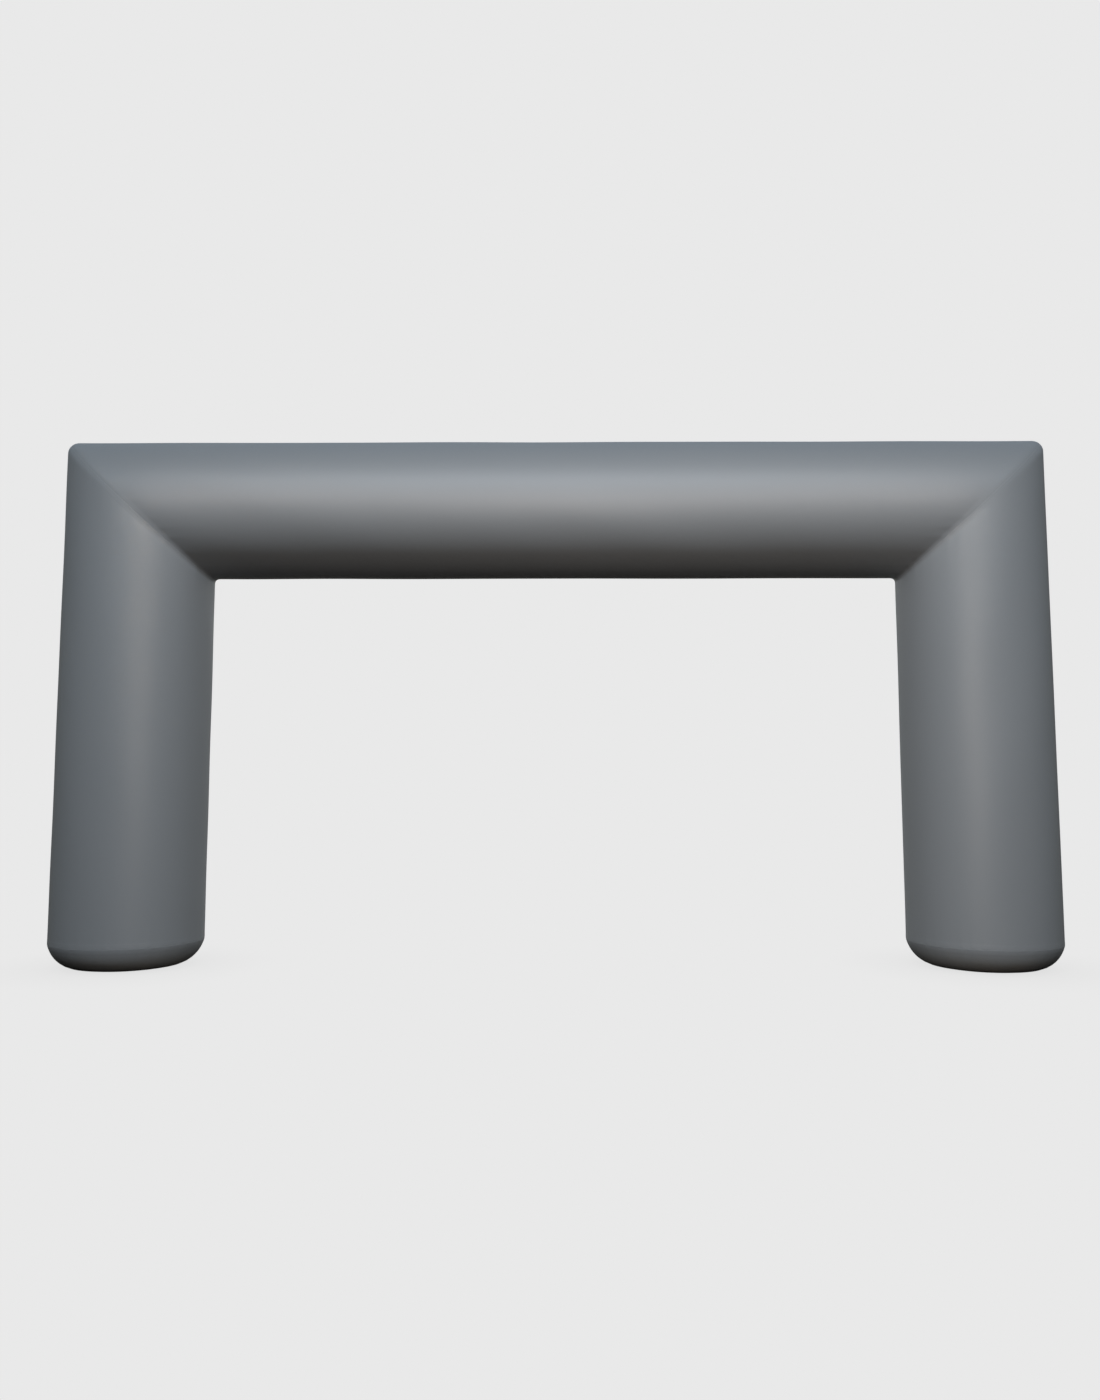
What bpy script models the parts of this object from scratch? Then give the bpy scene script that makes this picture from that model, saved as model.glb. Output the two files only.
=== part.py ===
"""Inflatable arch with square corners, made of air-filled tubes of coated cloth.

Two upright legs and a cross beam meet at mitre seams. Each leg stands on a foot cap: a rolled edge round a
flat sole. Every panel is one filled solid, and neighbouring panels stop a seam gap apart.

Metres, +Z up. The origin is on the ground midway between the feet, the arch spans X, and Y is its depth.
"""

import math

import bmesh
import bpy

# Driving dimensions.
OUTER_WIDTH = 6.10  # across both legs
OVERALL_HEIGHT = 3.235  # from the ground to the top of the beam
LEG_DIAMETER = 0.892  # the legs are round; this is also the beam's depth
BEAM_HEIGHT = 0.845  # the beam is a little lower than it is deep
FOOT_SEAM = 0.146  # height of the foot seam
FOOT_INSET = 0.166  # from the outside of the leg in to the flat sole's rim
FOOT_START = math.radians(13.5)  # where on its ellipse the rolled edge starts, so that it leans in at once
OUTER_EASE = 0.068  # how far the cloth rounds off each corner on the outside of the arch
INNER_EASE = 0.031  # and on the inside
SEAM_GAP = 0.0003  # between two panels

# Fineness.
SIDES = 72  # facets round a tube
EASE_STEPS = 5  # facets from a straight run to the mitre
ROLL_STEPS = 8  # facets down a foot's rolled edge
SHARP_ANGLE = math.radians(35)  # edges sharper than this stay crisp, such as a seam's rim
MERGE_DISTANCE = 0.0001

# Worked out from the above.
QUARTER_TURN = math.pi / 2  # how far a lengthwise line turns at a corner
MITRE_TURN = QUARTER_TURN / 2  # how far it has turned where it crosses the mitre
LEG_RADIUS = LEG_DIAMETER / 2
BEAM_RISE = BEAM_HEIGHT / 2
FLATNESS = BEAM_RISE / LEG_RADIUS
LEG_X = OUTER_WIDTH / 2 - LEG_RADIUS  # from the middle to a leg's axis
BEAM_Z = OVERALL_HEIGHT - BEAM_RISE  # the beam's axis
HALF_GAP = SEAM_GAP / 2
ROLL_RISE = FOOT_SEAM / (1 - math.sin(FOOT_START))  # half the height of the rolled edge's ellipse
ROLL_REACH = FOOT_INSET / math.cos(FOOT_START)  # and half its width
MITRE_SLOPE = math.hypot(1, FLATNESS)
MITRE_NORMAL = (FLATNESS / MITRE_SLOPE, 1 / MITRE_SLOPE)  # in X and Z, at the left corner, leg to beam

COLLECTION = "Inflatable arch"
GREY_CLOTH = (0.235, 0.245, 0.255)
FOOT_CLOTH = (0.215, 0.225, 0.235)
SATIN = 0.55  # roughness of the coating


def clear_scene():
    """Removes every object of the scene."""
    for thing in list(bpy.data.objects):
        bpy.data.objects.remove(thing, do_unlink=True)


def coated_cloth(name, colour):
    """A satin coated cloth, neither metallic nor glossy."""
    material = bpy.data.materials.new(name)
    material.use_nodes = True
    material.diffuse_color = (*colour, 1.0)
    shader = material.node_tree.nodes["Principled BSDF"]
    shader.inputs["Base Color"].default_value = (*colour, 1.0)
    shader.inputs["Roughness"].default_value = SATIN
    shader.inputs["Metallic"].default_value = 0.0
    return material


def add_object(name, mesh, material, parent):
    """Puts a mesh in the arch's collection under the parent empty, with its material."""
    part = bpy.data.objects.new(name, mesh)
    if not mesh.materials:
        mesh.materials.append(material)
    part.parent = parent
    bpy.data.collections[COLLECTION].objects.link(part)
    return part


def around():
    """The angles of the lengthwise lines: 0 on the outside of the arch, 180 degrees on its inside."""
    return [2 * math.pi * i / SIDES for i in range(SIDES)]


def corner_line(angle, turn):
    """A point of the left corner, seen from the leg's axis on the ground.

    Each lengthwise line runs up the leg, turns a right angle and runs along the beam. It turns on a small
    arc, wider on the outside of the arch than on its inside. The arc is as flattened as the beam is, so
    that every line crosses the mitre plane halfway through its turn.

    angle says which line it is, and turn how far it has turned: 0 on the leg, a right angle on the beam.
    """
    outward = math.cos(angle)
    ease = INNER_EASE + (OUTER_EASE - INNER_EASE) * (1 + outward) / 2
    x = -LEG_RADIUS * outward + ease * (1 - math.cos(turn))
    y = LEG_RADIUS * math.sin(angle)
    z = BEAM_Z + BEAM_RISE * outward - ease * FLATNESS * (1 - math.sin(turn))
    return x, y, z


def corner_ring(turn, seam_side=0.0):
    """A closed ring of the left corner's points, moved by seam_side along the mitre plane's normal."""
    ring = []
    for angle in around():
        x, y, z = corner_line(angle, turn)
        ring.append((x + MITRE_NORMAL[0] * seam_side, y, z + MITRE_NORMAL[1] * seam_side))
    return ring


def square_ring(z):
    """The leg's round section at height z, seen from its axis."""
    return [(-LEG_RADIUS * math.cos(a), LEG_RADIUS * math.sin(a), z) for a in around()]


def moved(ring, dx):
    """The ring moved along X."""
    return [(x + dx, y, z) for x, y, z in ring]


def mirrored(ring):
    """The ring on the other side of the arch."""
    return [(-x, y, z) for x, y, z in ring]


def loft(name, rings):
    """A closed mesh through rings of equal count, with a flat cap on the first and the last."""
    bm = bmesh.new()
    loops = [[bm.verts.new(point) for point in ring] for ring in rings]
    for lower, upper in zip(loops, loops[1:]):
        for i in range(SIDES):
            j = (i + 1) % SIDES
            bm.faces.new((lower[i], lower[j], upper[j], upper[i]))
    bm.faces.new(loops[0])
    bm.faces.new(loops[-1])
    bmesh.ops.recalc_face_normals(bm, faces=bm.faces)
    mesh = bpy.data.meshes.new(name)
    bm.to_mesh(mesh)
    bm.free()
    mesh.shade_smooth()
    mesh.set_sharp_from_angle(angle=SHARP_ANGLE)
    return mesh


def leg_mesh():
    """The left leg, seen from its axis on the ground: the foot seam, then the eased turn up to the mitre."""
    rings = [square_ring(FOOT_SEAM + HALF_GAP)]
    rings += [corner_ring(MITRE_TURN * step / EASE_STEPS) for step in range(EASE_STEPS)]
    rings.append(corner_ring(MITRE_TURN, -HALF_GAP))
    return loft("leg", rings)


def beam_mesh():
    """The beam, from the left mitre to the right one."""
    left = [corner_ring(MITRE_TURN, HALF_GAP)]
    left += [corner_ring(MITRE_TURN * (1 + step / EASE_STEPS)) for step in range(1, EASE_STEPS + 1)]
    left = [moved(ring, -LEG_X) for ring in left]
    right = [mirrored(ring) for ring in reversed(left)]
    return loft("beam", left + right)


def foot_profile():
    """The foot's outline at +X: across the seam, down the rolled edge and back under to the axis.

    The rolled edge is an arc of an ellipse. It leans in from the seam down and ends level at the sole.
    """
    top = FOOT_SEAM - HALF_GAP
    points = [(0.0, top), (LEG_RADIUS, top)]
    for step in range(1, ROLL_STEPS + 1):
        angle = FOOT_START + (QUARTER_TURN - FOOT_START) * step / ROLL_STEPS
        out = LEG_RADIUS - ROLL_REACH * (math.cos(FOOT_START) - math.cos(angle))
        points.append((out, ROLL_RISE * (1 - math.sin(angle))))
    points.append((0.0, 0.0))
    return points


def foot_mesh():
    """The foot's outline as an open line of edges, for the Screw modifier to turn."""
    points = foot_profile()
    edges = [(i, i + 1) for i in range(len(points) - 1)]
    mesh = bpy.data.meshes.new("foot")
    mesh.from_pydata([(x, 0.0, z) for x, z in points], edges, [])
    return mesh


def turn_round(part):
    """Turns the part's outline about its own Z axis into a closed body."""
    screw = part.modifiers.new("Turned", "SCREW")
    screw.axis = "Z"
    screw.angle = 2 * math.pi
    screw.steps = SIDES
    screw.render_steps = SIDES
    screw.use_merge_vertices = True
    screw.merge_threshold = MERGE_DISTANCE
    screw.use_smooth_shade = True


def build_arch():
    """Builds the five panels and stands them on the ground."""
    collection = bpy.data.collections.new(COLLECTION)
    bpy.context.scene.collection.children.link(collection)
    arch = bpy.data.objects.new("arch", None)
    collection.objects.link(arch)

    add_object("beam", beam_mesh(), coated_cloth("Beam cloth", GREY_CLOTH), arch)
    leg = leg_mesh()
    leg_cloth = coated_cloth("Leg cloth", GREY_CLOTH)
    foot = foot_mesh()
    foot_cloth = coated_cloth("Foot cloth", FOOT_CLOTH)
    for side, x, half_turn in (("left", -LEG_X, 0.0), ("right", LEG_X, math.pi)):
        upright = add_object(f"leg_{side}", leg, leg_cloth, arch)
        sole = add_object(f"foot_{side}", foot, foot_cloth, arch)
        turn_round(sole)
        for part in (upright, sole):
            part.location.x = x
            part.rotation_euler.z = half_turn


clear_scene()
build_arch()
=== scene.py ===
"""Looks of the inflatable arch: taut tubes of coated cloth, their seams and stitching, in a plain studio.

Every length is in metres in the arch's own frame. The origin is on the ground midway between the feet, +X
runs across the arch, +Y through the passage from front to back, and +Z is up.
"""

from __future__ import annotations

import logging
import math
from dataclasses import dataclass, field
from enum import Enum

import bpy
import numpy as np
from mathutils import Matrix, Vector
from numpy.typing import NDArray


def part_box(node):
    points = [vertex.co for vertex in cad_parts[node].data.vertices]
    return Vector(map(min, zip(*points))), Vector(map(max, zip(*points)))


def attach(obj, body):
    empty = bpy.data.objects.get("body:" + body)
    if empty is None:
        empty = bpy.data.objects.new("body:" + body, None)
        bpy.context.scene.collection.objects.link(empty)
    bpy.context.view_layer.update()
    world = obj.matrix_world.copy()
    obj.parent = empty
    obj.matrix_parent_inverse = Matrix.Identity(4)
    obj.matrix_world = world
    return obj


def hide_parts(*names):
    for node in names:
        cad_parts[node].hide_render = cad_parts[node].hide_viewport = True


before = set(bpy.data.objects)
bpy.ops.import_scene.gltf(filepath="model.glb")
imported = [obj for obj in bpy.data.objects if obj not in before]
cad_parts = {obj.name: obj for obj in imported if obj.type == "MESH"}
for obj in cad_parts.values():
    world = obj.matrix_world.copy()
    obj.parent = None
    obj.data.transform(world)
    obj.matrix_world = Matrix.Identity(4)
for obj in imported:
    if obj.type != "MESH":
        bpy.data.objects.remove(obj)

LOG = logging.getLogger("arch")
Array = NDArray[np.float64]
Socket = bpy.types.NodeSocket
Point = tuple[float, float, float]
Colour = tuple[float, float, float]
Span = tuple[float, float]

WHOLE_TURN = 2 * math.pi
QUARTER_TURN = math.pi / 2
MITRE_TURN = QUARTER_TURN / 2
SHARP_ANGLE = math.radians(40)  # a panel's edges sharper than this stay crisp, such as its rims
SMALLEST_LENGTH = 1e-12  # keeps a division from failing
BLACK = (0.0, 0.0, 0.0)
WHITE = (1.0, 1.0, 1.0)

# Fineness of the cloth.
COLUMNS = 360  # cloth points round a tube
CROWDING = 0.45  # how much closer together they are at the closing seam, at the back
SEAM_COLUMNS = (1, -1)  # those beside the closing seam
ROW_SPACING = 0.06  # between rows of cloth points, away from the seams
LAP_ROWS_MM = (0.0, 1.5, 3.0, 5.5, 8.0, 12.0, 17.0, 21.0, 24.0, 26.0, 28.0, 31.0, 36.0)  # from a seam
FURTHER_ROWS = 9
FURTHER_STEP = 0.007  # from the last of the lap's rows to the next
FURTHER_GROWTH = 0.22  # how much wider each further step is than the one before

# Random draws.
GATHER_SEED = 17  # the same for every panel, so that the gathers match across a seam
BEAM_SEED = 3
FOOT_SEED_STEP = 20  # from a leg's seed to its foot's


class Side(Enum):
    """Which half of the arch a piece belongs to, as the sign of its X."""

    LEFT = -1
    RIGHT = 1

    @property
    def word(self) -> str:
        """The side's name in lower case, as the solids' names have it."""
        return self.name.lower()


LEG_SEEDS = {Side.LEFT: 5, Side.RIGHT: 8}


# ---------------- sizes


@dataclass(frozen=True)
class ArchSizes:
    """The arch's driving sizes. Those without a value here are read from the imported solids."""

    leg_x: float  # from the middle of the arch to a leg's axis
    leg_radius: float
    top: float  # of the beam, above the ground
    foot_seam: float  # its height
    beam_height: float = 0.845
    outer_ease: float = 0.068  # how far the cloth rounds off each corner on the outside of the arch
    inner_ease: float = 0.031  # and on the inside
    foot_inset: float = 0.166  # from the outside of the leg in to the flat sole's rim
    foot_start: float = math.radians(13.5)  # where on its ellipse the foot's rolled edge starts
    half_gap: float = 0.00015  # half the gap between two panels

    @classmethod
    def from_frame(cls) -> ArchSizes:
        """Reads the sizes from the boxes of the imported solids.

        Returns:
            The sizes, in metres.
        """
        foot_low, foot_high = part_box("foot_right")
        _, beam_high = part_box("beam")
        return cls(
            leg_x=(foot_low.x + foot_high.x) / 2,
            leg_radius=(foot_high.x - foot_low.x) / 2,
            top=beam_high.z,
            foot_seam=foot_high.z + cls.half_gap,
        )

    @property
    def beam_rise(self) -> float:
        """Half the beam's height."""
        return self.beam_height / 2

    @property
    def flatness(self) -> float:
        """The beam's height as a share of its depth."""
        return self.beam_rise / self.leg_radius

    @property
    def beam_z(self) -> float:
        """The height of the beam's axis."""
        return self.top - self.beam_rise


@dataclass(frozen=True)
class SeamSizes:
    """The sizes of a lapped and sewn seam."""

    lap: float = 0.026  # width of the doubled cloth beside a seam
    lap_height: float = 0.0003
    lap_edge: float = 0.005  # how softly the doubled cloth ends
    dip: float = 0.0003  # how far the seam itself is drawn in
    dip_reach: float = 0.008
    pucker: float = 0.00028  # height of the small gathers beside a seam
    pucker_reach: float = 0.07
    stitch_line: float = 0.008  # from the seam to the row of stitches


# ---------------- cloth as grids of points


@dataclass
class ClothGrid:
    """Cloth as a grid of points: rows follow the tube's length and columns go round it.

    Attributes:
        points: The points, rows by columns by 3.
        along: Each point's distance along the cloth from the first row, rows by columns.
        around: Each column's distance round the tube from the closing seam, and the whole way round last.
        seam: Each point's distance to the nearest sewn end, rows by columns.
    """

    points: Array
    along: Array
    around: Array
    seam: Array

    def normals(self) -> Array:
        """The outward normals: the cross product of the steps along and round the tube, made unit length.

        Returns:
            Unit vectors, rows by columns by 3.
        """
        down = np.gradient(self.points, axis=0)
        across = np.roll(self.points, -1, axis=1) - np.roll(self.points, 1, axis=1)
        normal = np.cross(down, across)
        normal /= np.maximum(np.linalg.norm(normal, axis=2, keepdims=True), SMALLEST_LENGTH)
        middle = self.points.mean(axis=1, keepdims=True)
        return normal * np.sign((normal * (self.points - middle)).sum())

    def raised(self, height: Array) -> ClothGrid:
        """The same cloth with each point moved along its normal.

        Args:
            height: How far, in metres, rows by columns.

        Returns:
            A new grid.
        """
        points = self.points + self.normals() * height[:, :, None]
        return ClothGrid(points, self.along, self.around, self.seam)

    def mirrored(self) -> ClothGrid:
        """The same cloth on the other side of the arch, with X negated."""
        return ClothGrid(self.points * (-1.0, 1.0, 1.0), self.along, self.around, self.seam)


def column_turns() -> Array:
    """How far round from the closing seam each column is, and the whole way round last.

    The even share of a turn less a sine wave of one period, so that the columns crowd at the seam.

    Returns:
        Angles from 0 to a whole turn, one more than there are columns.
    """
    even = WHOLE_TURN * np.arange(COLUMNS + 1) / COLUMNS
    return even - CROWDING * np.sin(even)


def column_angles() -> Array:
    """The angle of each column. Zero is the arch's outside, and the first column is at the back."""
    return QUARTER_TURN + column_turns()[:-1]


def seam_rows() -> Array:
    """Distances of the rows beside a seam: close together at the lap, and in growing steps further away.

    The further rows are the sums of a geometric series: step * ((1 + growth)^n - 1) / growth.

    Returns:
        Distances in metres, rising from 0.
    """
    lap = np.array(LAP_ROWS_MM) / 1000
    growing = (1 + FURTHER_GROWTH) ** np.arange(1, FURTHER_ROWS + 1) - 1
    return np.concatenate((lap, lap[-1] + FURTHER_STEP * growing / FURTHER_GROWTH))


def smooth_step(value: Array) -> Array:
    """0 below 0, 1 above 1, and 3t^2 - 2t^3 between."""
    t = np.clip(value, 0.0, 1.0)
    return t * t * (3 - 2 * t)


@dataclass(frozen=True)
class Relief:
    """The small relief of taut cloth: laps, drawn-in seams, gathers and broad slack waves."""

    seed: int  # of one panel's slack waves
    seams: SeamSizes = SeamSizes()
    gathers_summed: int = 9  # how many cosines
    gather_turns: tuple[int, int] = (22, 56)  # the least and the limit of their waves round the tube
    waves_summed: int = 7  # how many cosines
    wave_turns: tuple[int, int] = (1, 6)  # as for the gathers
    wave_lengths: Span = (0.7, 2.4)  # the shortest and longest, along the tube
    wave: float = 0.0005  # height of the slack waves
    wave_reach: float = 0.25  # how far from a sewn end they take to reach it

    def gathers(self, angle: Array) -> Array:
        """Small gathers round a seam: a sum of cosines of whole numbers of turns.

        They are deeper on the inside of the arch's corner, where the cloth is fullest.

        Args:
            angle: Angles round the tube.

        Returns:
            Heights with a root mean square of about 1 outside the corner and 2 inside it.
        """
        count = self.gathers_summed
        draw = np.random.default_rng(GATHER_SEED)
        turns = draw.integers(*self.gather_turns, count)
        shift = draw.uniform(0, WHOLE_TURN, count)
        inward = (1 - np.cos(angle)) / 2
        total = np.cos(np.outer(angle, turns) + shift).sum(axis=1)
        return total / math.sqrt(count / 2) * (1 + inward**3)

    def waves(self, angle: Array, along: Array) -> Array:
        """Broad slack waves: a sum of cosines, each of a few turns round and a metre or two along.

        Args:
            angle: The columns' angles.
            along: Distances along the cloth, rows by columns.

        Returns:
            Heights with a root mean square of about 1, rows by columns.
        """
        count = self.waves_summed
        draw = np.random.default_rng(self.seed)
        turns = draw.integers(*self.wave_turns, count)
        length = draw.uniform(*self.wave_lengths, count)
        shift = draw.uniform(0, WHOLE_TURN, count)
        total = np.zeros_like(along)
        for i in range(count):
            total += np.cos(turns[i] * angle[None, :] + WHOLE_TURN * along / length[i] + shift[i])
        return total / math.sqrt(count / 2)

    def lap(self, distance: Array) -> Array:
        """The doubled cloth beside a seam: a low step that ends softly, less the drawn-in seam itself.

        Args:
            distance: Distances to the seam.

        Returns:
            Heights in metres.
        """
        sizes = self.seams
        step = 1 - smooth_step((distance - sizes.lap) / sizes.lap_edge)
        return sizes.lap_height * step - sizes.dip * np.exp(-((distance / sizes.dip_reach) ** 2))

    def height(self, grid: ClothGrid, closing_seam: bool) -> Array:
        """The whole relief of a panel.

        Args:
            grid: The panel's smooth cloth.
            closing_seam: Whether the panel is closed into a tube by a lengthwise seam at its back.

        Returns:
            Heights in metres, rows by columns.
        """
        angle = column_angles()
        sizes = self.seams
        away = 1 - np.exp(-((grid.seam / sizes.dip_reach) ** 2))
        gathered = sizes.pucker * np.exp(-grid.seam / sizes.pucker_reach) * away * self.gathers(angle)
        slack = self.wave * self.waves(angle, grid.along) * smooth_step(grid.seam / self.wave_reach)
        height = self.lap(grid.seam) + gathered + slack
        if closing_seam:
            round_way = np.minimum(grid.around[:-1], grid.around[-1] - grid.around[:-1])
            height = height + self.lap(round_way)[None, :] * smooth_step(grid.seam / sizes.lap)
        return height


# ---------------- meshes


def grid_faces(rows: int) -> Array:
    """The quads between neighbouring rows and columns of a tube, closed all the way round.

    Args:
        rows: How many rows of points there are.

    Returns:
        Point numbers, faces by 4.
    """
    row, column = np.meshgrid(np.arange(rows - 1), np.arange(COLUMNS), indexing="ij")
    here = row * COLUMNS + column
    after = row * COLUMNS + (column + 1) % COLUMNS
    return np.stack((here, after, after + COLUMNS, here + COLUMNS), axis=2).reshape(-1, 4)


def cloth_mesh(name: str, grid: ClothGrid) -> bpy.types.Mesh:
    """Makes a closed mesh of a panel: its cloth, and a flat fan over each end.

    The UV map is in metres, U round the tube from the closing seam and V along it, so that a weave laid on
    it follows the cloth. The point attribute seam_distance holds the distance to the nearest sewn end.

    Args:
        name: The mesh's name.
        grid: The panel's cloth.

    Returns:
        The mesh, smooth but for its rims, with its faces outwards.
    """
    rows = len(grid.points)
    cloth = grid.points.reshape(-1, 3)
    ends = grid.points[[0, -1]].mean(axis=1)
    quads = grid_faces(rows)
    first = np.arange(COLUMNS)
    after = (first + 1) % COLUMNS
    last = (rows - 1) * COLUMNS
    centre = len(cloth)
    near_fan = np.stack((after, first, np.full(COLUMNS, centre)), axis=1)
    far_fan = np.stack((last + first, last + after, np.full(COLUMNS, centre + 1)), axis=1)
    a, b, c = (cloth[quads[:, i]] for i in (0, 1, 3))
    facing = (np.cross(b - a, c - a) * grid.normals()[:-1].reshape(-1, 3)).sum()
    if facing < 0:
        quads, near_fan, far_fan = quads[:, ::-1], near_fan[:, ::-1], far_fan[:, ::-1]
    mesh = bpy.data.meshes.new(name)
    faces = quads.tolist() + near_fan.tolist() + far_fan.tolist()
    mesh.from_pydata(np.concatenate((cloth, ends)), [], faces)
    lay_uv(mesh, grid, facing < 0)
    distance = mesh.attributes.new("seam_distance", "FLOAT", "POINT")
    values = np.concatenate((grid.seam.ravel(), (0.0, 0.0)))
    distance.data.foreach_set("value", values.astype(np.float32))
    mesh.shade_smooth()
    mesh.set_sharp_from_angle(angle=SHARP_ANGLE)
    return mesh


def lay_uv(mesh: bpy.types.Mesh, grid: ClothGrid, flipped: bool) -> None:
    """Writes the UV map of a panel's mesh, in metres.

    Args:
        mesh: The mesh, with the quads first and the two end fans last.
        grid: The panel's cloth.
        flipped: Whether each face lists its corners backwards.
    """
    around = np.broadcast_to(grid.around, (len(grid.points), COLUMNS + 1))
    along = np.concatenate((grid.along, grid.along[:, :1]), axis=1)
    sheet = np.stack((around, along), axis=2)
    corners = (sheet[:-1, :-1], sheet[:-1, 1:], sheet[1:, 1:], sheet[1:, :-1])
    quads = np.stack(corners, axis=2).reshape(-1, 4, 2)
    angle = np.concatenate((column_angles(), column_angles()[:1]))
    rim = grid.around[-1] / WHOLE_TURN * np.stack((np.cos(angle), np.sin(angle)), axis=1)
    middle = np.zeros((COLUMNS, 2))
    near_fan = np.stack((rim[1:], rim[:-1], middle), axis=1)
    far_fan = np.stack((rim[:-1], rim[1:], middle), axis=1)
    if flipped:
        quads, near_fan, far_fan = quads[:, ::-1], near_fan[:, ::-1], far_fan[:, ::-1]
    layer = mesh.uv_layers.new(name="cloth")
    places = np.concatenate([part.reshape(-1, 2) for part in (quads, near_fan, far_fan)])
    layer.uv.foreach_set("vector", places.astype(np.float32).ravel())


def add_piece(name: str, mesh: bpy.types.Mesh, material: bpy.types.Material) -> bpy.types.Object:
    """Puts a mesh in the scene as a piece that rides on the arch, and logs it.

    Args:
        name: The piece's name.
        mesh: Its mesh, already in place.
        material: Its finish.

    Returns:
        The new object, at the origin.
    """
    piece = bpy.data.objects.new(name, mesh)
    mesh.materials.append(material)
    bpy.context.scene.collection.objects.link(piece)
    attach(piece, "root")
    LOG.info("%s: %d faces", name, len(mesh.polygons))
    return piece


# ---------------- finishes


class NodeSheet:
    """Short ways to add and link the nodes of a tree."""

    MIX_COLOURS = (6, 7)  # a Mix node's two colour inputs
    MIX_RESULT = 2  # and its colour output

    def __init__(self, tree: bpy.types.NodeTree) -> None:
        """Works on the given tree."""
        self.tree = tree

    def add(self, kind: str, **settings: object) -> bpy.types.Node:
        """Adds a node and sets its properties.

        Args:
            kind: The node's type, without the ShaderNode in front.
            **settings: Properties by name.

        Returns:
            The node.
        """
        node = self.tree.nodes.new(f"ShaderNode{kind}")
        for name, value in settings.items():
            setattr(node, name, value)
        return node

    def link(self, source: Socket, target: Socket) -> None:
        """Joins an output to an input."""
        self.tree.links.new(source, target)

    def feed(self, target: Socket, value: object) -> None:
        """Joins an output to an input, or sets a number or a colour on it.

        Args:
            target: The input.
            value: An output, a number, or a colour of three parts.
        """
        if isinstance(value, Socket):
            self.link(value, target)
        else:
            target.default_value = (*value, 1.0) if isinstance(value, tuple) else value

    def math(self, operation: str, *inputs: object) -> Socket:
        """Adds a Math node.

        Args:
            operation: The operation's name.
            *inputs: Sockets or numbers.

        Returns:
            The node's output.
        """
        node = self.add("Math", operation=operation)
        for socket, value in zip(node.inputs, inputs):
            self.feed(socket, value)
        return node.outputs[0]

    def mix(self, share: Socket, first: object, second: object) -> Socket:
        """Mixes two colours.

        Args:
            share: The second colour's share.
            first: A colour or a socket.
            second: A colour or a socket.

        Returns:
            The mixed colour.
        """
        node = self.add("Mix", data_type="RGBA")
        self.link(share, node.inputs["Factor"])
        for i, value in zip(self.MIX_COLOURS, (first, second)):
            self.feed(node.inputs[i], value)
        return node.outputs[self.MIX_RESULT]

    def parts(self, place: Socket) -> bpy.types.NodeOutputs:
        """Parts a vector into its X, Y and Z.

        Args:
            place: The vector.

        Returns:
            The outputs, by name.
        """
        node = self.add("SeparateXYZ")
        self.link(place, node.inputs[0])
        return node.outputs

    def noise(self, place: Socket, scale: float, detail: float) -> Socket:
        """Adds a noise of a given scale.

        Args:
            place: The coordinates that it reads.
            scale: How many lumps there are to a metre.
            detail: How many finer layers it has.

        Returns:
            A value from 0 to 1, about 0.5 on average.
        """
        node = self.add("TexNoise")
        node.inputs["Scale"].default_value = scale
        node.inputs["Detail"].default_value = detail
        self.link(place, node.inputs["Vector"])
        return node.outputs[0]

    def eased(self, value: Socket, low: float, high: float) -> Socket:
        """Adds a smooth step.

        Args:
            value: What it reads.
            low: Where it starts to rise from 0.
            high: Where it reaches 1.

        Returns:
            A value from 0 to 1.
        """
        node = self.add("MapRange", interpolation_type="SMOOTHSTEP")
        node.inputs["From Min"].default_value = low
        node.inputs["From Max"].default_value = high
        self.link(value, node.inputs["Value"])
        return node.outputs[0]

    def bump(self, height: Socket, strength: float, depth: float) -> Socket:
        """Adds a bump.

        Args:
            height: What it reads, from 0 to about 1.
            strength: How much of it shows.
            depth: How deep it is, in metres.

        Returns:
            The bumped normal.
        """
        node = self.add("Bump")
        node.inputs["Strength"].default_value = strength
        node.inputs["Distance"].default_value = depth
        self.link(height, node.inputs["Height"])
        return node.outputs[0]


def blank_finish(name: str) -> tuple[bpy.types.Material, NodeSheet, bpy.types.Node]:
    """Makes a finish to build on.

    Args:
        name: The material's name.

    Returns:
        The material, its node tree and its shader.
    """
    material = bpy.data.materials.new(name)
    material.use_nodes = True
    tree = material.node_tree
    return material, NodeSheet(tree), tree.nodes["Principled BSDF"]


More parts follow.
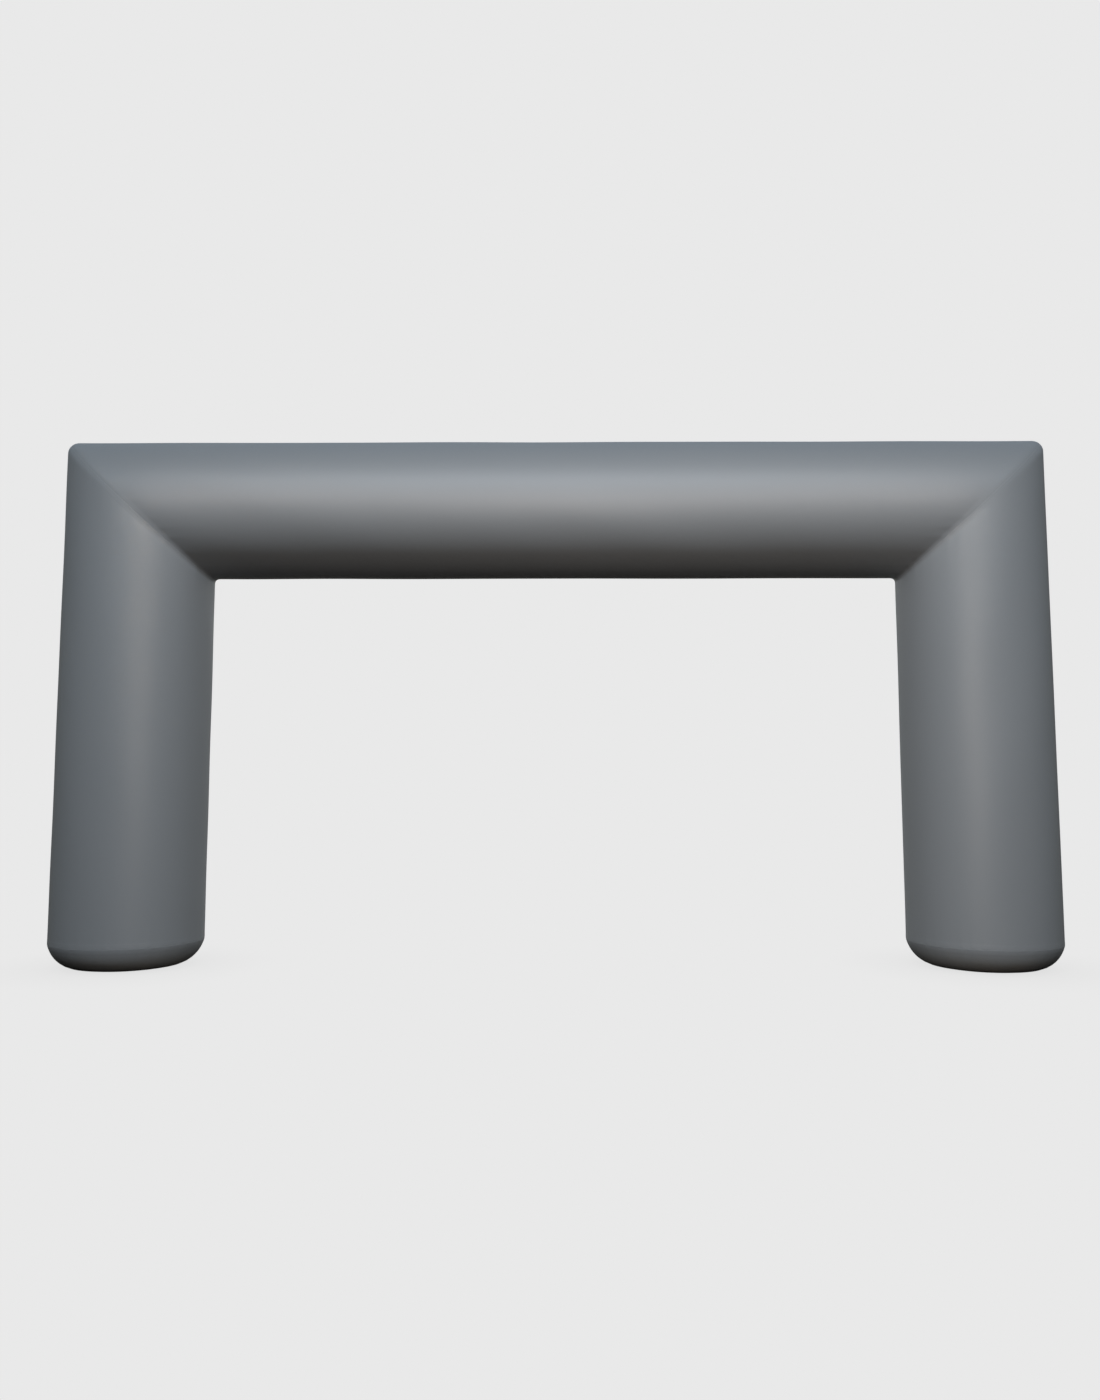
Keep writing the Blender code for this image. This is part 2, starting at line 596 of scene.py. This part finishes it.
@dataclass(frozen=True)
class CoatedCloth:
    """Woven polyester with a thin satin coating, the marks of use, and pale dust low down that also paints
    bounce light.
    """

    colour: Colour = (0.230, 0.239, 0.248)  # clean cloth; all colours are linear
    worn: Colour = (0.258, 0.267, 0.276)  # rubbed seams and faint patches
    soiled: Colour = (0.330, 0.300, 0.260)  # pale dust from the ground, also painted bounce light from below
    roughness: float = 0.5
    roughness_range: float = 0.10  # how much the mottling changes it in all
    specular: float = 0.5
    patches: Span = (1.3, 3.0)  # a noise's lumps to a metre, and its finer layers
    patch_share: float = 0.7  # of the drift in colour
    mottle: Span = (38.0, 4.0)  # likewise
    mottle_share: float = 0.3
    rub_fade: float = 55.0  # to a metre; how fast the rubbing fades away from a seam
    rub_share: float = 0.35
    wear: float = 0.55  # how far patches, mottles and rubbing reach towards the worn colour
    dust_and_bounce_height: float = 0.16  # how high above the ground the dust and its painted bounce light reach
    dust_and_bounce_patches: Span = (9.0, 5.0)
    dust_and_bounce_strength: float = 1.2
    thread: float = 0.0011  # the weave's pitch
    weave_share: float = 0.5  # of the weave in the bump, beside the coating's grain
    grain: Span = (900.0, 2.0)
    weave_depth: float = 0.00006  # how deep the weave shows through the coating
    weave_strength: float = 0.6

    def material(self, name: str) -> bpy.types.Material:
        """Builds the finish as nodes.

        The colour drifts a little in broad patches and fine mottling, is paler where a seam is rubbed, and
        dusty and paler near the ground, where the pale dust also paints light bounced up from the ground.
        The mottling changes the coating's roughness too.

        Args:
            name: The material's name.

        Returns:
            The material.
        """
        material, sheet, shader = blank_finish(name)
        place = sheet.add("TexCoord").outputs["Object"]
        patches = sheet.noise(place, *self.patches)
        mottle = sheet.noise(place, *self.mottle)
        drift = sheet.math(
            "ADD",
            sheet.math("MULTIPLY", patches, self.patch_share),
            sheet.math("MULTIPLY", mottle, self.mottle_share),
        )
        seam = sheet.add("Attribute", attribute_name="seam_distance").outputs["Fac"]
        rubbed = sheet.math("EXPONENT", sheet.math("MULTIPLY", seam, -self.rub_fade))
        marks = sheet.math("ADD", drift, sheet.math("MULTIPLY", rubbed, self.rub_share))
        clean = sheet.mix(sheet.math("MULTIPLY", marks, self.wear), self.colour, self.worn)
        # The pale dust near the ground is also painted bounce light from below.
        sheet.link(self._add_dust_and_bounce_light(sheet, place, clean), shader.inputs["Base Color"])
        least = self.roughness - self.roughness_range / 2
        rough = sheet.math("MULTIPLY_ADD", mottle, self.roughness_range, least)
        sheet.link(rough, shader.inputs["Roughness"])
        shader.inputs["Specular IOR Level"].default_value = self.specular
        sheet.link(self._woven(sheet), shader.inputs["Normal"])
        return material

    def _add_dust_and_bounce_light(self, sheet: NodeSheet, place: Socket, clean: Socket) -> Socket:
        """Lays pale dust on the cloth towards the ground, in uneven patches, as dust and as painted bounce
        light from the ground.

        Its share is the square of how far down the cloth is below the dust's height, times a noise.

        Args:
            sheet: The node tree.
            place: Object coordinates.
            clean: The clean cloth's colour.

        Returns:
            The colour with its dust and painted bounce light.
        """
        rise = sheet.parts(place)["Z"]
        low = sheet.math("SUBTRACT", 1.0, sheet.math("DIVIDE", rise, self.dust_and_bounce_height))
        low = sheet.math("MAXIMUM", low, 0.0)
        patches = sheet.noise(place, *self.dust_and_bounce_patches)
        dust_and_bounce_share = sheet.math("MULTIPLY", sheet.math("MULTIPLY", low, low), patches)
        # Painted bounce light: the pale dust colour lightens the cloth near the ground.
        return sheet.mix(sheet.math("MULTIPLY", dust_and_bounce_share, self.dust_and_bounce_strength), clean, self.soiled)

    def _woven(self, sheet: NodeSheet) -> Socket:
        """The weave, the product of a sine round the tube and one along it, and a finer coating grain.

        Args:
            sheet: The node tree.

        Returns:
            The bumped normal.
        """
        uv = sheet.add("UVMap", uv_map="cloth").outputs[0]
        parts = sheet.parts(uv)
        turn = WHOLE_TURN / self.thread
        warp = sheet.math("SINE", sheet.math("MULTIPLY", parts["X"], turn))
        weft = sheet.math("SINE", sheet.math("MULTIPLY", parts["Y"], turn))
        weave = sheet.math("MULTIPLY", warp, weft)
        grain = sheet.noise(uv, *self.grain)
        height = sheet.math("ADD", sheet.math("MULTIPLY", weave, self.weave_share), grain)
        return sheet.bump(height, self.weave_strength, self.weave_depth)


@dataclass(frozen=True)
class SewingThread:
    """Bonded polyester thread, a little darker than the cloth."""

    colour: Colour = (0.20, 0.205, 0.21)
    shade: float = 0.8  # the dark of its twist, as a share of its colour
    roughness: float = 0.6
    twist: Span = (1500.0, 1.0)  # a noise's lumps to a metre, and its finer layers
    twist_depth: float = 0.0001
    twist_strength: float = 0.5

    def material(self, name: str) -> bpy.types.Material:
        """Builds the thread's finish: an even twist of light and dark along fine noise.

        Args:
            name: The material's name.

        Returns:
            The material.
        """
        material, sheet, shader = blank_finish(name)
        place = sheet.add("TexCoord").outputs["Object"]
        twist = sheet.noise(place, *self.twist)
        darker = tuple(self.shade * part for part in self.colour)
        sheet.link(sheet.mix(twist, darker, self.colour), shader.inputs["Base Color"])
        shader.inputs["Roughness"].default_value = self.roughness
        sheet.link(sheet.bump(twist, self.twist_strength, self.twist_depth), shader.inputs["Normal"])
        return material


# ---------------- panels


@dataclass
class Corner:
    """The eased square corner that every lengthwise line of cloth turns, on the left of the arch."""

    sizes: ArchSizes

    def ease(self, angle: Array) -> Array:
        """How far from the corner each line starts to turn: wider on the arch's outside than inside."""
        sizes = self.sizes
        return sizes.inner_ease + (sizes.outer_ease - sizes.inner_ease) * (1 + np.cos(angle)) / 2

    def half_turn_length(self, angle: Array) -> Array:
        """The length of each line from where it starts to turn to the mitre."""
        return self.ease(angle) * MITRE_TURN * (1 + self.sizes.flatness) / 2

    def point(self, angle: Array, turn: Array) -> Array:
        """Points of the corner, each line turning on an arc as flattened as the beam.

        Args:
            angle: Which line, as its angle round the tube.
            turn: How far the line has turned, from 0 on the leg to a right angle on the beam.

        Returns:
            Points, with the last axis X, Y and Z.
        """
        sizes = self.sizes
        ease = self.ease(angle)
        outward = np.cos(angle)
        x = -sizes.leg_x - sizes.leg_radius * outward + ease * (1 - np.cos(turn))
        y = sizes.leg_radius * np.sin(angle)
        z = sizes.beam_z + sizes.beam_rise * outward - ease * sizes.flatness * (1 - np.sin(turn))
        return np.stack(np.broadcast_arrays(x, y, z), axis=-1)

    def line_points(self, angle: Array, distance: Array, on_beam: bool) -> Array:
        """Points from the mitre round the eased turn, then straight along the beam or down the leg.

        Args:
            angle: Which lines, as their angles round the tube.
            distance: How far along its line each point is from the mitre.
            on_beam: Whether they are on the beam, and not on the leg.

        Returns:
            Points, with the last axis X, Y and Z.
        """
        axis, way = (0, 1) if on_beam else (2, -1)
        reach = self.half_turn_length(angle)
        points = self.point(angle, MITRE_TURN * np.clip(1 + way * distance / reach, 0.0, 2.0))
        points[..., axis] += way * np.maximum(distance - reach, 0.0)
        return points

    def parted(self, points: Array, seam: Array, away: float) -> Array:
        """Moves the points at a mitre seam off its plane, so that two panels stop a gap apart.

        Args:
            points: The panel's points.
            seam: Their distances to the seam.
            away: How far along the plane's normal, from the leg to the beam.

        Returns:
            The moved points.
        """
        flatness = self.sizes.flatness
        normal = np.array((flatness, 0.0, 1.0)) / math.hypot(flatness, 1.0)
        return points + normal * (away * (seam < self.sizes.half_gap))[..., None]


@dataclass
class Panel:
    """A panel of cloth."""

    corner: Corner  # the arch's left one
    relief: Relief
    finish: CoatedCloth
    grid: ClothGrid = field(init=False)  # its cloth as points, once it is built

    def dressed(self, name: str) -> bpy.types.Object:
        """Puts the panel's skin in the scene, under the name of the solid that it stands for."""
        skin = f"{name}_skin"
        return add_piece(skin, cloth_mesh(skin, self.grid), self.finish.material(f"{name} cloth"))


@dataclass
class Leg(Panel):
    """An upright tube, from its mitre to its foot seam, with a lengthwise closing seam at the back."""

    side: Side

    def cloth(self) -> ClothGrid:
        """The smooth cloth: lengthwise lines of unlike length from the slanting mitre to the foot seam.

        Returns:
            The grid, its first row at the mitre.
        """
        sizes = self.corner.sizes
        angle = column_angles()[None, :]
        near = seam_rows()
        foot_z = sizes.foot_seam + sizes.half_gap
        turned = self.corner.half_turn_length(angle)
        length = turned + self.corner.point(angle, np.zeros_like(angle))[..., 2] - foot_z
        steps = int((sizes.beam_z - foot_z) / ROW_SPACING)
        share = np.arange(1, steps)[:, None] / steps
        at_mitre = np.broadcast_to(near[:, None], (len(near), COLUMNS))
        between = near[-1] + share * (length - 2 * near[-1])
        at_foot = length - near[::-1, None]
        distance = np.concatenate((at_mitre, between, at_foot))
        points = self.corner.line_points(angle, distance, on_beam=False)
        points = self.corner.parted(points, distance, -sizes.half_gap)
        around = sizes.leg_radius * column_turns()
        return ClothGrid(points, distance, around, np.minimum(distance, length - distance))

    def build(self) -> None:
        grid = self.cloth()
        grid = grid.raised(self.relief.height(grid, closing_seam=True))
        self.grid = grid if self.side is Side.LEFT else grid.mirrored()
        name = f"leg_{self.side.word}"
        piece = self.dressed(name)
        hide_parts(name)


@dataclass
class Beam(Panel):
    """The cross tube, from the left mitre to the right one, with a lengthwise closing seam at the back."""

    def cloth(self) -> ClothGrid:
        """The smooth cloth: the left half's lines, of unlike lengths, and their mirror image.

        Returns:
            The grid, its first row at the left mitre.
        """
        sizes = self.corner.sizes
        angle = column_angles()[None, :]
        near = seam_rows()
        turned = self.corner.half_turn_length(angle)
        half = turned - self.corner.point(angle, np.full_like(angle, QUARTER_TURN))[..., 0]
        steps = int(sizes.leg_x / ROW_SPACING)
        share = np.arange(1, steps + 1)[:, None] / steps
        at_mitre = np.broadcast_to(near[:, None], (len(near), COLUMNS))
        distance = np.concatenate((at_mitre, near[-1] + share * (half - near[-1])))
        left = self.corner.line_points(angle, distance, on_beam=True)
        left = self.corner.parted(left, distance, sizes.half_gap)
        right = left[-2::-1] * (-1.0, 1.0, 1.0)
        along = np.concatenate((distance, 2 * half - distance[-2::-1]))
        around = sizes.leg_radius * column_turns()
        seam = np.concatenate((distance, distance[-2::-1]))
        return ClothGrid(np.concatenate((left, right)), along, around, seam)

    def build(self) -> None:
        grid = self.cloth()
        self.grid = grid.raised(self.relief.height(grid, closing_seam=True))
        piece = self.dressed("beam")
        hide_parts("beam")


@dataclass
class Foot(Panel):
    """A foot cap: a rolled edge below the foot seam, round a flat sole."""

    side: Side
    edge_steps: int = 400  # how finely the rolled edge is worked out before its rows are laid
    seam_share: float = 0.93  # of the rolled edge, with the rows of a seam
    last_share: float = 0.965  # of the rolled edge, down to the one row between those and the sole
    sole_rings: tuple[float, ...] = (0.96, 0.88, 0.72, 0.5, 0.25, 0.08)  # as shares of its radius
    level_share: float = 0.3  # of the foot's height, where the relief eases out towards the ground

    def rolled_edge(self) -> tuple[Array, Array, Array]:
        """The rolled edge in fine steps: an arc of an ellipse that leans in from the seam and ends level.

        Returns:
            The length of cloth from the seam, how far in it is from the outside of the leg, and its height.
        """
        sizes = self.corner.sizes
        start = sizes.foot_start
        turn = np.linspace(start, QUARTER_TURN, self.edge_steps)
        inward = sizes.foot_inset * (1 - np.cos(turn) / math.cos(start))
        z = sizes.foot_seam * (1 - np.sin(turn)) / (1 - math.sin(start))
        steps = np.hypot(np.diff(inward), np.diff(z))
        return np.concatenate(((0.0,), np.cumsum(steps))), inward, z

    def cloth(self) -> ClothGrid:
        """The smooth cloth: the rolled edge turned about the leg's axis, then the flat sole in rings.

        Returns:
            The grid, its first row at the foot seam.
        """
        sizes = self.corner.sizes
        angle = column_angles()[None, :]
        near = seam_rows()
        length, inward, edge_z = self.rolled_edge()
        whole = length[-1]
        seam_part = near[near < self.seam_share * whole]
        rolled = np.concatenate((seam_part, (self.last_share * whole, whole)))[:, None]
        rim = sizes.leg_radius - sizes.foot_inset
        sole = rim * np.array(self.sole_rings)[:, None]
        out = np.concatenate((sizes.leg_radius - np.interp(rolled, length, inward), sole))
        z = np.concatenate((np.interp(rolled, length, edge_z), np.zeros_like(sole)))
        z[0] -= sizes.half_gap
        distance = np.concatenate((rolled, whole + rim - sole))
        x = -sizes.leg_x - out * np.cos(angle)
        y = out * np.sin(angle)
        points = np.stack(np.broadcast_arrays(x, y, z), axis=-1)
        around = sizes.leg_radius * column_turns()
        seam = np.broadcast_to(distance, points.shape[:2])
        return ClothGrid(points, seam, around, seam)

    def build(self) -> None:
        grid = self.cloth()
        height = self.relief.height(grid, closing_seam=False)
        level = self.level_share * self.corner.sizes.foot_seam
        grid = grid.raised(height * smooth_step(grid.points[..., 2] / level))
        self.grid = grid if self.side is Side.LEFT else grid.mirrored()
        name = f"foot_{self.side.word}"
        piece = self.dressed(name)
        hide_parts(name)


# ---------------- sewing


@dataclass(frozen=True)
class StitchSizes:
    """A lockstitch in heavy thread."""

    length: float = 0.0052
    pitch: float = 0.009  # from one stitch to the next
    radius: float = 0.0007
    flatness: float = 0.7  # its height as a share of its width
    lift: float = 0.25  # of its radius, off the cloth
    sides: int = 5
    rings: tuple[Span, ...] = ((-0.36, 0.8), (0.0, 1.0), (0.36, 0.8))  # place along and width, as shares
    tips: Span = (-0.5, 0.5)  # places along


@dataclass
class Stitching:
    """Rows of stitches that follow lines of cloth points, joined in one mesh.

    Attributes:
        name: The piece's name.
        slot: The record's material slot; not used.
        finish: The thread.
        sizes: The stitch's sizes.
    """

    name: str
    slot: str
    finish: SewingThread
    sizes: StitchSizes = StitchSizes()

    def spaced(self, line: Array, normal: Array) -> tuple[Array, Array, Array]:
        """Places along a line at the stitch pitch, read off it by its length.

        Args:
            line: The line's points.
            normal: The cloth's normals there.

        Returns:
            Middles, directions and normals of the stitches.
        """
        step = np.linalg.norm(np.diff(line, axis=0), axis=1)
        length = np.concatenate(((0.0,), np.cumsum(step)))
        count = max(1, int(length[-1] / self.sizes.pitch))
        at = (np.arange(count) + 0.5) * length[-1] / count
        half = self.sizes.length / 2
        middle, before, ahead, up = (
            np.stack([np.interp(where, length, source[:, k]) for k in range(3)], axis=1)
            for where, source in ((at, line), (at - half, line), (at + half, line), (at, normal))
        )
        direction = ahead - before
        return middle, direction / np.linalg.norm(direction, axis=1, keepdims=True), up

    def stitch(self) -> tuple[Array, list[tuple[int, ...]]]:
        """One stitch about the origin: three rings of a flattened spindle with a point at each end.

        Returns:
            Its points, as shares along, across and up, and its faces.
        """
        sizes = self.sizes
        n = sizes.sides
        turn = WHOLE_TURN * np.arange(n) / n
        rings = [
            np.stack((np.full(n, at), width * np.cos(turn), width * np.sin(turn)), axis=1)
            for at, width in sizes.rings
        ]
        points = np.concatenate((*rings, [(at, 0.0, 0.0) for at in sizes.tips]))
        points *= (sizes.length, sizes.radius, sizes.radius * sizes.flatness)
        faces: list[tuple[int, ...]] = []
        for i in range(n):
            j = (i + 1) % n
            faces += [(ring * n + i, ring * n + j, ring * n + n + j, ring * n + n + i) for ring in (0, 1)]
            faces += [(j, i, 3 * n), (2 * n + i, 2 * n + j, 3 * n + 1)]
        return points, faces

    def build(self, lines: list[tuple[Array, Array]]) -> None:
        """Sews every line and dresses the rows.

        Args:
            lines: Each line's points and the cloth's normals there.
        """
        placed = [self.spaced(line, normal) for line, normal in lines]
        middle, direction, up = (np.concatenate([row[k] for row in placed]) for k in range(3))
        across = np.cross(up, direction)
        across /= np.linalg.norm(across, axis=1, keepdims=True)
        up = np.cross(direction, across)
        shape, faces = self.stitch()
        axes = np.stack((direction, across, up), axis=1)
        points = middle[:, None, :] + np.einsum("pk,nkc->npc", shape, axes)
        points += self.sizes.lift * self.sizes.radius * up[:, None, :]
        sides = np.array([face for face in faces if len(face) == 4])
        tips = np.array([face for face in faces if len(face) == 3])
        starts = len(shape) * np.arange(len(middle))[:, None, None]
        quads = (sides[None] + starts).reshape(-1, 4).tolist()
        triangles = (tips[None] + starts).reshape(-1, 3).tolist()
        mesh = bpy.data.meshes.new(self.name)
        mesh.from_pydata(points.reshape(-1, 3), [], quads + triangles)
        mesh.shade_smooth()
        piece = add_piece(self.name, mesh, self.finish.material(f"{self.name} thread"))


def round_line(grid: ClothGrid, last: bool) -> tuple[Array, Array]:
    """The line of stitches beside a panel's first or last row, which comes back to its start.

    Args:
        grid: The panel's cloth.
        last: Whether it is beside the last row.

    Returns:
        The line's points and the cloth's normals there.
    """
    row = int(np.argmin(np.abs(seam_rows() - SeamSizes.stitch_line)))
    row = -1 - row if last else row
    columns = np.append(np.arange(COLUMNS), 0)
    return grid.points[row][columns], grid.normals()[row][columns]


def closing_lines(grid: ClothGrid) -> list[tuple[Array, Array]]:
    """The two lines of stitches along a tube's closing seam, which stop short of its sewn ends.

    Args:
        grid: The tube's cloth.

    Returns:
        Each line's points and the cloth's normals there.
    """
    lines = []
    for column in SEAM_COLUMNS:
        kept = grid.seam[:, column] > SeamSizes.lap
        lines.append((grid.points[kept, column], grid.normals()[kept, column]))
    return lines


# ---------------- studio


@dataclass(frozen=True)
class Viewpoint:
    """The camera: a wide lens at chest height in front of the arch, tipped up a little."""

    place: Point = (0.0199, -6.5250, 1.0118)
    tipped_up: float = 0.0922  # radians
    turned_left: float = 0.0071  # radians
    lens: float = 27.11  # millimetres
    film: float = 36.0  # millimetres, the picture's long side
    sight: Span = (0.1, 200.0)  # the nearest and furthest that it sees

    def build(self) -> None:
        """Makes the scene's camera."""
        data = bpy.data.cameras.new("camera")
        data.lens = self.lens
        data.sensor_width = self.film
        data.clip_start, data.clip_end = self.sight
        camera = bpy.data.objects.new("camera", data)
        camera.location = self.place
        camera.rotation_euler = (QUARTER_TURN + self.tipped_up, 0.0, self.turned_left)
        bpy.context.scene.collection.objects.link(camera)
        bpy.context.scene.camera = camera


@dataclass(frozen=True)
class SoftBox:
    """A soft rectangular light."""

    name: str
    place: Point  # its middle
    aim: Point  # the point that it faces
    width: float  # its level side
    height: float  # its other side
    radiance: float  # how bright its face is; 1 is white paper in the picture
    tint: Colour
    shadows: bool = True  # whether what stands in its way casts them
    sheen: bool = True  # whether gloss reflects it
    wash: bool = True  # whether it lights cloth plainly too, and not by gloss alone
    spread: float = math.pi  # the angle that its light fans out over; half a turn is an open face

    def build(self) -> None:
        """Makes the light, hidden from the camera.

        An open face's power is pi times its area and radiance. A narrower spread gathers the same power.
        """
        data = bpy.data.lights.new(self.name, "AREA")
        data.shape = "RECTANGLE"
        data.size, data.size_y = self.width, self.height
        data.color = self.tint
        data.energy = math.pi * self.width * self.height * self.radiance
        data.use_shadow = self.shadows
        data.spread = self.spread
        light = bpy.data.objects.new(self.name, data)
        light.location = self.place
        facing = Vector(self.aim) - Vector(self.place)
        light.rotation_euler = facing.to_track_quat("-Z", "Y").to_euler()
        light.visible_camera = False
        light.visible_glossy = self.sheen
        light.visible_diffuse = self.wash
        bpy.context.scene.collection.objects.link(light)


# The front light casts no shadows, because the beam's would fall on the legs as a hard wedge. Gloss
# doesn't reflect the back light, or the rims that the camera sees would gleam.
SOFT_BOXES = (
    SoftBox(
        "front light", place=(0.0, -8.4, 8.5), aim=(0.0, 0.0, 2.5), width=11.0, height=1.2,
        radiance=18.9, tint=(0.88, 1.0, 1.11), shadows=False,
    ),
    SoftBox(
        "back light", place=(0.0, 9.0, 4.7), aim=(0.0, 0.0, 1.8), width=7.0, height=1.6,
        radiance=15.0, tint=(0.97, 1.0, 1.03), sheen=False,
    ),
    SoftBox(
        "beam light", place=(0.0, -0.65, 2.8), aim=(0.0, 0.0, 2.8), width=5.0, height=0.1,
        radiance=1.22, tint=(1.11, 1.0, 0.93),
    ),
    SoftBox(
        "right leg light", place=(0.2, -5.7, 2.0), aim=(2.6, 0.0, 1.8), width=1.9, height=1.3,
        radiance=12.7, tint=(1.10, 1.0, 0.92),
    ),
    SoftBox(
        "left leg gleam", place=(-0.65, -5.67, 4.6), aim=(-2.6, 0.0, 2.3), width=1.0, height=0.8,
        radiance=0.7, tint=(1.30, 1.0, 0.68), wash=False, spread=0.5,
    ),
    SoftBox(
        "right leg gleam", place=(1.45, -5.88, 4.6), aim=(2.6, 0.0, 2.3), width=1.0, height=0.8,
        radiance=0.6, tint=(1.15, 1.0, 0.85), wash=False, spread=0.5,
    ),
)


@dataclass(frozen=True)
class Studio:
    """A pale seamless studio that the camera sees, and the soft light that the arch gets."""

    pale: float = 0.8148  # the brightness of floor and backdrop
    reach: float = 60.0  # the floor's radius
    floor_sides: int = 64
    drop: float = 0.0006  # how far the floor lies under the soles
    contact_shadow: float = 0.1  # how much darker the painted contact shadow makes the floor close to the soles
    contact_shadow_reach: float = 0.5  # how far from them it is so
    contact_shadow_rays: int = 16  # how finely that is worked out
    wall_low: Colour = (0.28, 0.28, 0.26)  # the back wall's light up to a little above the horizon
    wall_high: Colour = (0.31, 0.38, 0.47)  # its light further up
    side_wall: Colour = (0.24, 0.26, 0.27)  # the light of the walls to the left and right
    side_eases: Span = (0.5, 0.9)  # from where to where a side wall's light rises, in X
    back_eases: Span = (-0.1, 0.6)  # and the back wall's, in Y
    high_eases: Span = (0.2, 0.5)  # from where to where the back wall's light turns, in Z
    foot_eases: Span = (-0.4, -0.1)  # from where to where all the walls' light rises, in Z

    def build(self) -> None:
        """Makes the floor, the backdrop and the lights."""
        self.floor()
        self.surround()
        for box in SOFT_BOXES:
            box.build()
        bpy.context.scene.view_settings.view_transform = "Standard"

    def floor(self) -> None:
        """Makes a pale round floor that glows evenly, with a painted contact shadow where something stands
        close above.
        """
        sides = self.floor_sides
        turn = WHOLE_TURN * np.arange(sides) / sides
        level = np.full(sides, -self.drop)
        rim = np.stack((self.reach * np.cos(turn), self.reach * np.sin(turn), level), axis=1)
        mesh = bpy.data.meshes.new("studio_floor")
        mesh.from_pydata(rim, [], [tuple(range(sides))])
        floor = bpy.data.objects.new("studio_floor", mesh)
        bpy.context.scene.collection.objects.link(floor)
        material, sheet, shader = blank_finish("studio floor")
        shader.inputs["Base Color"].default_value = (*BLACK, 1.0)
        shader.inputs["Roughness"].default_value = 1.0
        shader.inputs["Specular IOR Level"].default_value = 0.0
        shader.inputs["Emission Color"].default_value = (*WHITE, 1.0)
        # Painted contact shadow: the floor's glow dims where ambient occlusion finds the arch close above.
        contact_shadow_occlusion = sheet.add("AmbientOcclusion", samples=self.contact_shadow_rays)
        contact_shadow_occlusion.inputs["Distance"].default_value = self.contact_shadow_reach
        open_share = sheet.math("MULTIPLY_ADD", contact_shadow_occlusion.outputs["AO"], self.contact_shadow, 1 - self.contact_shadow)
        glow = sheet.math("MULTIPLY", open_share, self.pale)
        sheet.link(glow, shader.inputs["Emission Strength"])
        mesh.materials.append(material)
        floor.visible_diffuse = floor.visible_glossy = floor.visible_shadow = False

    def surround(self) -> None:
        """The light of the back and side walls, and nothing in front or below; the camera sees it all pale.

        A wall's share is a smooth step of one part of the direction that is looked in, whose X is 1 to the
        right, Y is 1 straight behind the arch and Z is 1 overhead.
        """
        world = bpy.data.worlds.new("studio surround")
        world.use_nodes = True
        sheet = NodeSheet(world.node_tree)
        parts = sheet.parts(sheet.add("TexCoord").outputs["Generated"])
        beside = sheet.eased(sheet.math("ABSOLUTE", parts["X"]), *self.side_eases)
        sides = sheet.mix(beside, BLACK, self.side_wall)
        back = sheet.mix(sheet.eased(parts["Z"], *self.high_eases), self.wall_low, self.wall_high)
        walls = sheet.mix(sheet.eased(parts["Y"], *self.back_eases), sides, back)
        light = sheet.mix(sheet.eased(parts["Z"], *self.foot_eases), BLACK, walls)
        seen = sheet.add("LightPath").outputs["Is Camera Ray"]
        colour = sheet.mix(seen, light, (self.pale, self.pale, self.pale))
        sheet.link(colour, world.node_tree.nodes["Background"].inputs["Color"])
        bpy.context.scene.world = world


# ---------------- the arch


def main() -> None:
    """Builds the arch's panels and sewing, then the studio."""
    logging.basicConfig(level=logging.INFO, format="%(message)s")
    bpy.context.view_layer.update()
    corner = Corner(ArchSizes.from_frame())
    cloth, thread = CoatedCloth(), SewingThread()

    beam = Beam(corner, Relief(BEAM_SEED), cloth)
    beam.build()
    for side, seed in LEG_SEEDS.items():
        leg = Leg(corner, Relief(seed), cloth, side)
        leg.build()
        foot = Foot(corner, Relief(seed + FOOT_SEED_STEP), cloth, side)
        foot.build()
        mitre = [round_line(leg.grid, last=False), round_line(beam.grid, last=side is Side.RIGHT)]
        Stitching(f"mitre_stitching_{side.word}", "beam_cloth", thread).build(mitre)
        foot_seam = [round_line(leg.grid, last=True), round_line(foot.grid, last=False)]
        Stitching(f"foot_stitching_{side.word}", "foot_cloth", thread).build(foot_seam)
        Stitching(f"leg_{side.word}_stitching", "leg_cloth", thread).build(closing_lines(leg.grid))
    Stitching("beam_stitching", "beam_cloth", thread).build(closing_lines(beam.grid))

    Viewpoint().build()
    Studio().build()


if __name__ == "__main__":
    main()
